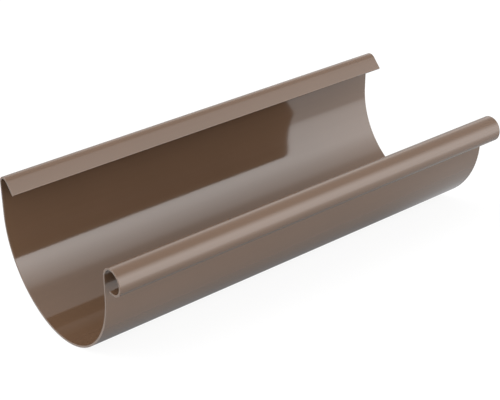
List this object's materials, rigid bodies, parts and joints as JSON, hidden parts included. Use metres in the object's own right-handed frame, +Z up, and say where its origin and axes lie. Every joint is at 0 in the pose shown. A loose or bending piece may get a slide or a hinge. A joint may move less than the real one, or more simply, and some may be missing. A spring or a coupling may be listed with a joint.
{
  "type": "gutter section",
  "caption": "Short half-round rain gutter of coated sheet metal, with a rolled open bead along the front edge and a folded lip along the higher rear edge.",
  "frame": {"origin": "on the floor, under the middle of the gutter's width and length, as it rests", "axes": "+Y along the gutter, +Z up as it lies loose on a floor; the bead is on the +X side. As it hangs in its brackets, with the back wall upright, it is turned 12.7 degrees about -Y from here"},
  "size_m": [0.147, 0.33, 0.1074],
  "materials": {
    "coated_sheet": "smooth gloss coat, dark brown, grey-brown where it mirrors white light"
  },
  "bodies": {
    "root": {"gutter": "coated_sheet"}
  },
  "joints": []
}
